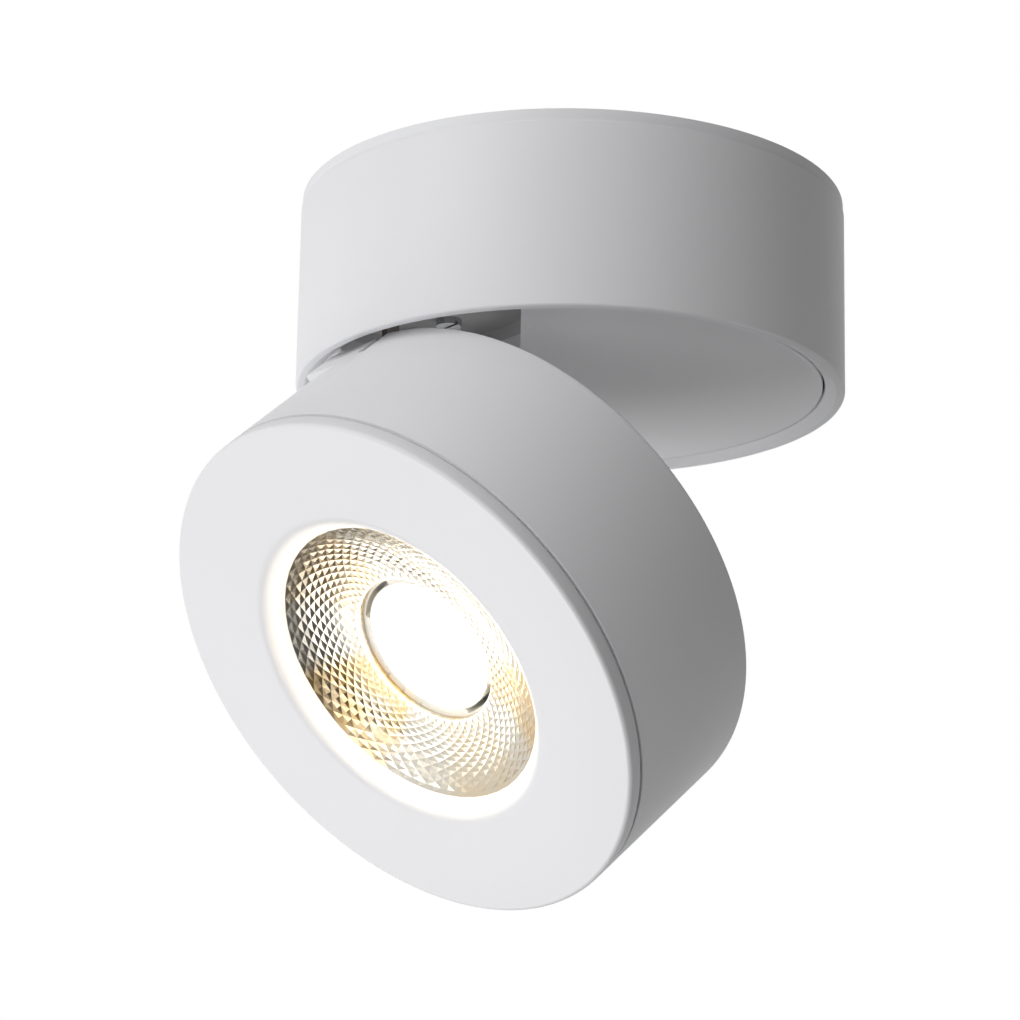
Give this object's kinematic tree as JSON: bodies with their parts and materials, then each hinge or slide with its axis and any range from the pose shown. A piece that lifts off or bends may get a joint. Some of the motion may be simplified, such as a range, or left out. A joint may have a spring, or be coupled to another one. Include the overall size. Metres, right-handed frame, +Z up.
{
  "type": "surface mounted ceiling spotlight",
  "caption": "Round white ceiling spotlight: a short cylindrical base with a turntable in its rim and a matching round lamp head on a hinge, with a faceted reflector.",
  "frame": {"origin": "centre of the mounting plate's face that lies on the ceiling", "axes": "+Z up into the ceiling, along the turntable's axis; the hinge is at the -Y side of the rim and its axis runs along X; the lamp points down and towards -Y"},
  "size_m": [0.1, 0.1202, 0.1311],
  "materials": {
    "white_paint": "matt white powder coat on die-cast aluminium",
    "inner_black": "dark grey matt paint",
    "steel": "zinc plated",
    "bracket_steel": "zinc plated pressed steel",
    "sink_aluminium": "as cast",
    "reflector_silver": "faceted, vacuum metallised",
    "lens_white": "diffusing opal lens",
    "holder_white": "moulded",
    "rubber_black": "matt",
    "bush_plastic": "natural acetal",
    "driver_plastic": "moulded",
    "terminal_plastic": "natural polyamide",
    "board_green": "circuit board",
    "core_black": "wound transformer",
    "can_black": "sleeved capacitors",
    "cob_white": "white solder mask on aluminium",
    "phosphor": "phosphor gel",
    "pad_grey": "thermal silicone",
    "clamp_brass": "plain"
  },
  "bodies": {
    "base": {"mounting_plate": "white_paint", "base_housing": "white_paint", "lock_screws": "steel", "cable_grommet": "rubber_black", "driver_case": "driver_plastic", "driver_cover": "driver_plastic", "driver_board": "board_green", "transformer": "core_black", "capacitors": "can_black", "driver_screws": "steel", "terminal_block": "terminal_plastic", "terminal_clamps": "clamp_brass", "terminal_screws": "steel", "swivel_bush": "bush_plastic", "thrust_washer": "bush_plastic", "stop_pin": "steel"},
    "turntable": {"turntable_disc": "white_paint", "swivel_spindle": "steel", "stop_washer": "steel", "wave_washer": "steel", "swivel_nut": "steel", "hinge_liner": "inner_black", "liner_screws": "steel", "hinge_bracket": "bracket_steel", "bracket_screws": "steel"},
    "head": {"head_housing": "white_paint", "hinge_yoke": "bracket_steel", "yoke_screws": "steel", "hinge_pin": "steel", "hinge_washers": "steel", "lead_grommet": "rubber_black", "heat_sink": "sink_aluminium", "heat_sink_screws": "steel", "thermal_pad": "pad_grey", "cob_board": "cob_white", "cob_emitter": "phosphor", "light_lens": "lens_white", "cob_holder": "holder_white", "holder_screws": "steel", "reflector": "reflector_silver", "front_trim": "white_paint", "trim_gasket": "rubber_black"}
  },
  "joints": [
    {"name": "pan", "type": "hinge", "parent": "base", "child": "turntable", "pos_m": [0, 0, -0.0265], "axis": [0, 0, 1], "range_deg": [-170, 170]},
    {"name": "tilt", "type": "hinge", "parent": "turntable", "child": "head", "pos_m": [0.0019, -0.04435, -0.041], "axis": [-1, 0, 0], "range_deg": [-48.5, 41.5]}
  ]
}
